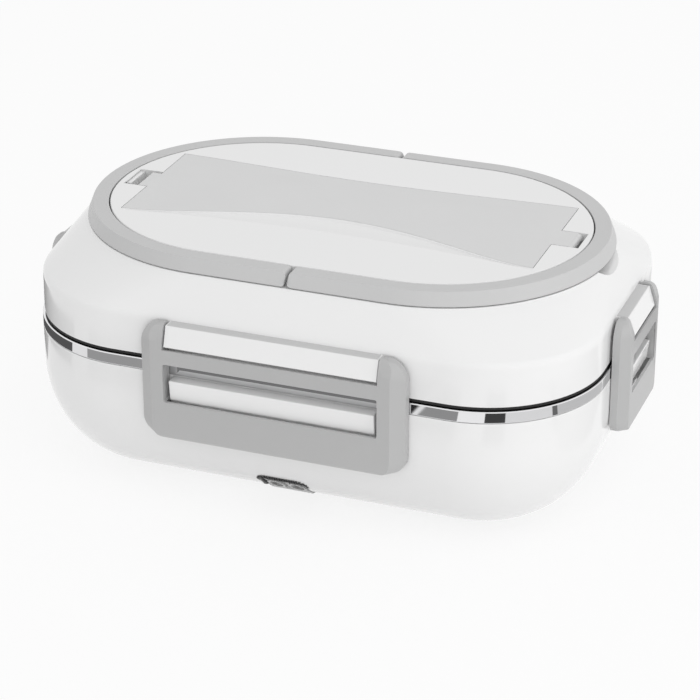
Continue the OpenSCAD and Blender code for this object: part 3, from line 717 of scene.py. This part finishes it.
# The inlet's face: its centre, its lean forward from upright, how far it is slid down, half sizes, corners
INLET = {"x": -2.0, "y": -67.7, "z": 10.9, "tilt": 50.4, "drop": 1.75, "hw": 9.4, "hh": 7.7, "r": 2.6}
FACE_TURN = math.radians(90 + INLET["tilt"])


def inlet_place(u, v, w):
    """Point of the slanted inlet face: u along it, v up it, w out of it."""
    up = v - INLET["drop"]
    y = INLET["y"] + up * math.cos(FACE_TURN) - w * math.sin(FACE_TURN)
    return (INLET["x"] + u, y, INLET["z"] + up * math.sin(FACE_TURN) + w * math.cos(FACE_TURN))


def inlet_outline(grow, steps):
    return [p[:2] for p in plan_ring(INLET["hw"] + grow, INLET["hh"] + grow, INLET["r"] + grow, 0, steps, 1)]


def heated_base_tub():
    inside = foot_curve(2.4, 36.5, 41.5, 3.6, 12)
    rim = [(2.4, 58.8), (2.28, 59.08), (2.0, 59.2), (0.45, 59.2), (0.2, 59.12), (0.06, 58.95), (0, 58.7)]
    outside = foot_curve(0, 38, 43, 1.2, 30)
    tub = lofted("heated_base_tub", [inset_ring(BAND, *row) for row in inside + rim + outside[::-1]])
    opening = [(u * 1.08, v - 3.4) if v < -3 else (u, v) for u, v in inlet_outline(0.6, 8)]
    return combine(tub, "DIFFERENCE", prism(opening, -6, 6, inlet_place))


settle(heated_base_tub(), "base", "shell_white", "base_shell", 32, True)


# Inlet: a ribbed collar round the opening, and a housing with a groove round each socket

def walked_edge(outline, pace):
    """The outline in steps of about one pace: u, v and the way walked so far; and the way round."""
    edge, walk = [], 0.0
    for a, b in zip(outline, outline[1:] + outline[:1]):
        length = math.dist(a, b)
        count = max(1, round(length / pace))
        for k in range(count):
            t = k / count
            edge.append((a[0] + (b[0] - a[0]) * t, a[1] + (b[1] - a[1]) * t, walk + length * t))
        walk += length
    return edge, walk


def ribbed_collar():
    """Rubber frame with a row of small ribs along its outer edge."""
    rib_pitch, rib_drop = 1.05, 0.9
    sink, sink_below, sink_over = 1.4, 4.6, 2.2
    edge, way_round = walked_edge(inlet_outline(0, 10), 0.2)
    ribs = round(way_round / rib_pitch)
    rings = []
    for k, (u, v, walked) in enumerate(edge):
        before, after = edge[k - 1], edge[(k + 1) % len(edge)]
        du, dv = after[0] - before[0], after[1] - before[1]
        nu, nv = dv / math.hypot(du, dv), -du / math.hypot(du, dv)
        drop = 0.0 if math.cos(2 * math.pi * ribs * walked / way_round) > 0 else rib_drop
        sunk = sink * max(0.0, min(1.0, (-v - sink_below) / sink_over))
        section = ((-0.02, -1.5), (-0.02, 0.2), (0.15, 0.35), (0.55, 0.4), (0.62, 0.42 - drop),
                   (1.55, 0.42 - drop), (1.68, 0.3 - drop), (1.7, -2.6))
        rings.append([inlet_place(u + nu * out, v + nv * out, w - sunk) for out, w in section])
    return lofted("ribbed_collar", rings, True)


def socket_groove(x):
    """Ring-shaped tool round one socket, whose axis runs straight back."""
    socket_z, inner_r, outer_r = 9.1, 3.5, 3.95
    rings = []
    for i in range(48):
        turn = 2 * math.pi * i / 48
        section = []
        for r, w in rectangle(inner_r, outer_r, -1.5, 0.5):
            z = socket_z + r * math.sin(turn)
            v = (z - INLET["z"] - w * math.cos(FACE_TURN)) / math.sin(FACE_TURN) + INLET["drop"]
            section.append(inlet_place(x + r * math.cos(turn), v, w))
        rings.append(section)
    return lofted("groove", rings, True)


def grooved_housing():
    """The housing's own solid, grooved, with a lip where the face runs on to the box's lower outline."""
    housing = bpy.data.objects.new("grooved_housing", nodes["inlet_housing"].data.copy())
    housing.data.transform(nodes["inlet_housing"].matrix_world)
    combine(housing, "DIFFERENCE", *[socket_groove(x) for x in (-4.6, 4.6)])
    lip = [(-8.9, -9.3), (8.9, -9.3), (9.3, -5.8), (-9.3, -5.8)]
    return combine(housing, "UNION", prism(lip, -1.5, 0.1, inlet_place))


settle(ribbed_collar(), "base", "rubber_black", "inlet_grommet", 30, paint="collar_black")
settle(grooved_housing(), "base", "socket_grey", "inlet_housing", 32)

# Lid shell: low wall, smooth shoulder that turns into the stadium platform, and its cut-outs

LEDGE_Z = TOP_Z - RING_H - 0.3
PLATFORM = (RING_HL - 0.5, RING_HW - 0.5, RING_HW - 0.5)
SHOULDER = (RING_HL + RING_WIDE, RING_HW + RING_WIDE, RING_HW + RING_WIDE)


def shoulder_rings():
    """From the wall's top to the ledge, each column of points softened and its crease kept on the slope."""
    rings = [inset_ring(WALL, inset, z) for inset, z in ((0, 78.6), (0, 82.0), (0.65, 83.6), (2.7, 84.8))]
    rings.append(inset_ring(SHOULDER, 0, LEDGE_Z - 0.5))
    columns = []
    for column, inside in zip(zip(*rings), inset_ring(WALL, 1, 0)):
        outward = (column[0][0] - inside[0], column[0][1] - inside[1])
        reach = [x * outward[0] + y * outward[1] for x, y, _ in column]
        start, crease, end = column[2:]
        t = (crease[2] - start[2]) / (end[2] - start[2])
        if reach[3] < reach[2] + (reach[4] - reach[2]) * t:
            crease = tuple(p + (q - p) * t for p, q in zip(start, end))
        columns.append(corner_cut([*column[:3], crease, end], 3))
    return [list(ring) for ring in zip(*columns)]


def lid_body():
    underside = [(PLATFORM, 2.7, 99.8), (PLATFORM, 2.7, 93.6), (WALL, 4.5, 82), (WALL, 2.2, 78.9),
                 (WALL, 2.2, 65.85)]
    edge = [(WALL, 2.0, 65.75), (WALL, 0.2, 65.75), (WALL, 0.05, 65.8), (WALL, 0, 65.95)]
    ledge = [(SHOULDER, 0.1, LEDGE_Z - 0.15), (SHOULDER, 0.4, LEDGE_Z), (PLATFORM, -0.3, LEDGE_Z),
             (PLATFORM, -0.05, LEDGE_Z + 0.1), (PLATFORM, 0, LEDGE_Z + 0.4)]
    top = [(PLATFORM, 0, TOP_Z - 0.7), (PLATFORM, 0.07, TOP_Z - 0.4), (PLATFORM, 0.25, TOP_Z - 0.14),
           (PLATFORM, 0.5, TOP_Z - 0.02), (PLATFORM, 0.8, TOP_Z)]
    below, above = ([inset_ring(*row) for row in rows] for rows in (underside + edge, ledge + top))
    return lofted("lid_with_platform", below + shoulder_rings() + above)


def cover_recess():
    """The cover's outline without its tabs, its straight ends and curved sides moved out by the gap."""
    gap = 0.3
    out = []
    for x, y in cover_outline():
        on_tab = abs(x) > COVER_HL + 0.1 or (abs(abs(x) - COVER_HL) < 0.1 and abs(y - COVER_Y) < TAB_HW + 0.1)
        if not on_tab:
            out.append((x * (COVER_HL + gap) / COVER_HL, y + (gap if y > COVER_Y else -gap)))
    return out


def scoop():
    """Shallow fingertip hollow along the cover's front edge, deepest in the middle of its front line."""
    clear, far_middle, far_bow = 1.2, -26.2, 6.8
    depth_at_ends, depth_more = 0.1, 2.6
    rings = []
    for i in range(-30, 31):
        x = COVER_HL * i / 30
        near = COVER_Y - COVER_HW + drawn_in(x, FRONT_WAIST) - clear
        far = far_middle - far_bow * (x / COVER_HL) ** 2
        deep = depth_at_ends + depth_more * fullness(x)
        dips = ((0, 0.05), (0.04, deep * 0.28), (0.12, deep * 0.42), (0.5, deep * 0.7), (0.85, deep),
                (0.94, deep * 0.85), (1.0, deep * 0.4), (1.02, -2.0))
        ring = [(x, near + (far - near) * t, TOP_Z - dip) for t, dip in dips]
        rings.append(ring + [(x, near - 0.02, TOP_Z + 2.0)])
    return lofted("scoop", rings)


def finger_notch(turn):
    """Slanted round bar that hollows the platform's end under the handle's loop."""
    radius, length, lean = 26.0, 20, 11
    notch = prism(round_bar(radius, 96), 0, length, lambda u, v, w: (w, u, v))
    moves = (Matrix.Translation((0, 0, radius * MM)), Matrix.Rotation(math.radians(lean), 4, "Y"),
             Matrix.Translation(((PLATFORM[0] + 0.4) * MM, 0, (LEDGE_Z - 2.2) * MM)),
             Matrix.Rotation(math.radians(turn), 4, "Z"))
    for move in moves:
        notch.data.transform(move)
    return notch


def tray_outline(grow):
    return [p[:2] for p in plan_ring(80 + grow, 16.5 + grow, 8 + grow, 0, 8, 1, (0, 9))]


def across(x0, x1, half):
    return rectangle(x0, x1, COVER_Y - half, COVER_Y + half)


def lid_with_platform():
    """The lid's body with floors added under its three pockets, then all of its hollows cut."""
    lid = lid_body()
    tray_floor = (tray_outline(1.6), 86.0, 100.8)
    catch_floor = (rectangle(-100.0, -88.0, -9.0, 11.0), 93.9, 100.9)
    hinge_floor = (across(89.0, 99.2, 9.3), 94.5, 100.85)
    for floor in (tray_floor, catch_floor, hinge_floor):
        combine(lid, "UNION", prism(*floor))
    cover_seat = (cover_recess(), TOP_Z - COVER_T - 0.2, TOP_Z + 2)
    tray = (tray_outline(0), 87.6, TOP_Z + 1)
    hinge_slot = (across(COVER_HL - 4, 91.5, TAB_HW + 0.4), TOP_Z - 2.01, TOP_Z + 1.3)
    hinge_well = (across(90.5, 98.6, TAB_HW + 0.39), 96.0, TOP_Z + 1.1)
    catch_well = (rectangle(-99.7, -82, -6.7, 10.4), 95.3, 103.6)
    catch_mouth = (rectangle(-98.1, -82, -6.71, 10.41), 102.6, TOP_Z + 1.2)
    for hollow in (cover_seat, tray, hinge_slot, hinge_well, catch_well, catch_mouth):
        combine(lid, "DIFFERENCE", prism(*hollow))
    for tool in (scoop(), finger_notch(0), finger_notch(180)):
        combine(lid, "DIFFERENCE", tool)
    return lid


settle(lid_with_platform(), "lid", "shell_white", "lid_shell", 30, True)
BLOCK = [(-0.6, 73.7), (6.9, 73.7), (7.1, 74.0), (4.6, 82.05), (-0.6, 82.05)]
settle(four_bars("latch_hinge_blocks", BLOCK, 0.4, 0.25, 3), "lid", "shell_white", None, 40)
# Painted shade: a thin grey sheet laid on each white hinge block's top, where the shoulder above shades it
SHADE_SHEET = [(-0.5, 81.7), (4.3, 81.7), (4.25, 82.25), (-0.5, 82.25)]
settle(four_bars("hinge_block_painted_shade", SHADE_SHEET, 1.1, 0.12, 2), "lid", "handle_grey", None, 40)


# Floor and light: a pale studio, white to the camera; sizes from here on are in metres

ROOM_WHITE = (1, 1, 1)
ROOM_LIGHT = 0.77
MIRRORED = ("Is Glossy Ray", "Is Transmission Ray")
SEEN = ("Is Camera Ray", *MIRRORED)


def rays(m, kinds):
    """1 for rays of these kinds, 0 for all others."""
    first, *others = [m.node("ShaderNodeLightPath", out=kind) for kind in kinds]
    return sum(others, first).clip()


# Painted reflection: grey bands in the floor's glow that only mirror rays see, by the heading at which each
# one ends; the bright skirt mirrors them
MIRROR_ONLY_BANDS = ((-152.3, 0.1), (-140.4, 0.9), (-119.0, 0.36), (-87.0, 0.2), (-84.8, 0.02), (-84.0, 0.9),
          (-72.8, 0.32), (-57.6, 1.0), (-46.4, 0.06), (-19.6, 0.82), (-16.4, 0.16), (24.0, 0.62),
          (38.0, 1.0), (52.0, 0.12), (128.0, 0.7), (140.0, 0.06), (158.0, 0.85), (180.0, 0.1))

# Centre and radius of the skirt's corner bends, and how far outside the skirt the painted reflection bands
# begin and end
BEND_X, BEND_Y, BEND_R = 69, 32.4, 49.9
BANDS_FROM, BANDS_FROM_RIGHT, BANDS_TO = 96, 60, 146
RIGHT_HEADING = -17


def painted_reflection_bands(m):
    """What a mirror sees of the floor: painted reflection bands in millimetres outside the box's wall, white
    elsewhere.
    """
    x, y = m.axis(0), m.axis(1)
    heading = y.heading(x)
    past_x, past_y = (abs(x) - BEND_X).at_least(0), (abs(y) - BEND_Y).at_least(0)
    away = (past_x * past_x + past_y * past_y).root() - BEND_R
    near = BANDS_FROM - (BANDS_FROM - BANDS_FROM_RIGHT) * heading.step(RIGHT_HEADING, RIGHT_HEADING + 1)
    # Painted reflection: grey bands by heading, which the camera never sees
    bands = grey(MIRROR_ONLY_BANDS[0][1])
    for (edge, _), (_, tone) in zip(MIRROR_ONLY_BANDS, MIRROR_ONLY_BANDS[1:]):
        bands = m.mix(heading.step(edge, edge + 0.5), bands, grey(tone))
    return m.mix(away.step(near - 2, near + 2) * away.step(BANDS_TO, BANDS_TO - 6), ROOM_WHITE, bands)


def floor_look():
    m = Look(bpy.data.materials.new("floor"))
    mirrored = rays(m, MIRRORED)
    cloud = m.mix(m.noise(0.004, 3.0), grey(0.895), grey(0.905))
    plain = m.node("ShaderNodeBsdfDiffuse", None, {"Color": cloud})
    # Painted reflection: mirror rays see the grey bands in the floor's glow, the camera sees plain white
    tone = m.mix(mirrored, ROOM_WHITE, painted_reflection_bands(m))
    glow = m.node("ShaderNodeEmission", None, {"Color": tone, "Strength": 1.0})
    return m.close(m.blend((rays(m, SEEN) * 0.85 + mirrored * 0.15).clip(), plain, glow))


def lay_floor():
    reach = 12
    mesh = bpy.data.meshes.new("floor")
    mesh.from_pydata([(x, y, 0) for x, y in rectangle(-reach, reach, -reach, reach)], [], [(0, 1, 2, 3)])
    mesh.materials.append(floor_look())
    obj = bpy.data.objects.new("floor", mesh)
    scene.collection.objects.link(obj)


def light_room():
    scene.world = bpy.data.worlds.new("studio")
    room = Look(scene.world, "ShaderNodeOutputWorld")
    light, white = (room.node("ShaderNodeBackground", None, {0: ROOM_WHITE, 1: level})
                    for level in (ROOM_LIGHT, 1.0))
    room.close(room.blend(rays(room, SEEN), light, white))


def aim(obj, target):
    obj.rotation_euler = (Vector(target) - obj.location).to_track_quat("-Z", "Y").to_euler()


def softbox(name, spot, width, height, watts):
    data = bpy.data.lights.new(name, "AREA")
    data.shape = "RECTANGLE"
    data.size = width
    data.size_y = height
    data.energy = watts
    obj = bpy.data.objects.new(name, data)
    scene.collection.objects.link(obj)
    obj.location = spot
    aim(obj, (0, 0, 0.05))
    obj.visible_glossy = False


lay_floor()
light_room()
softbox("top_light", (0.6, -0.6, 1.6), 1.2, 1.0, 4.4)
softbox("front_light", (0.8, -1.7, 0.25), 1.2, 0.4, 4.2)
softbox("right_light", (1.9, -0.2, 0.35), 1.2, 0.6, 5.5)

# Camera at the photograph's angle

cam_data = bpy.data.cameras.new("camera")
cam_data.sensor_width = 36
cam_data.lens = 131.19
cam_data.shift_x = 0.00117
cam_data.shift_y = -0.06123
cam_data.clip_start = 0.05
cam_data.clip_end = 60
cam = bpy.data.objects.new("camera", cam_data)
scene.collection.objects.link(cam)
cam.location = (0.33712, -0.90073, 0.50183)
aim(cam, (0, 0, 0.06))
scene.camera = cam

scene.view_settings.view_transform = "Standard"
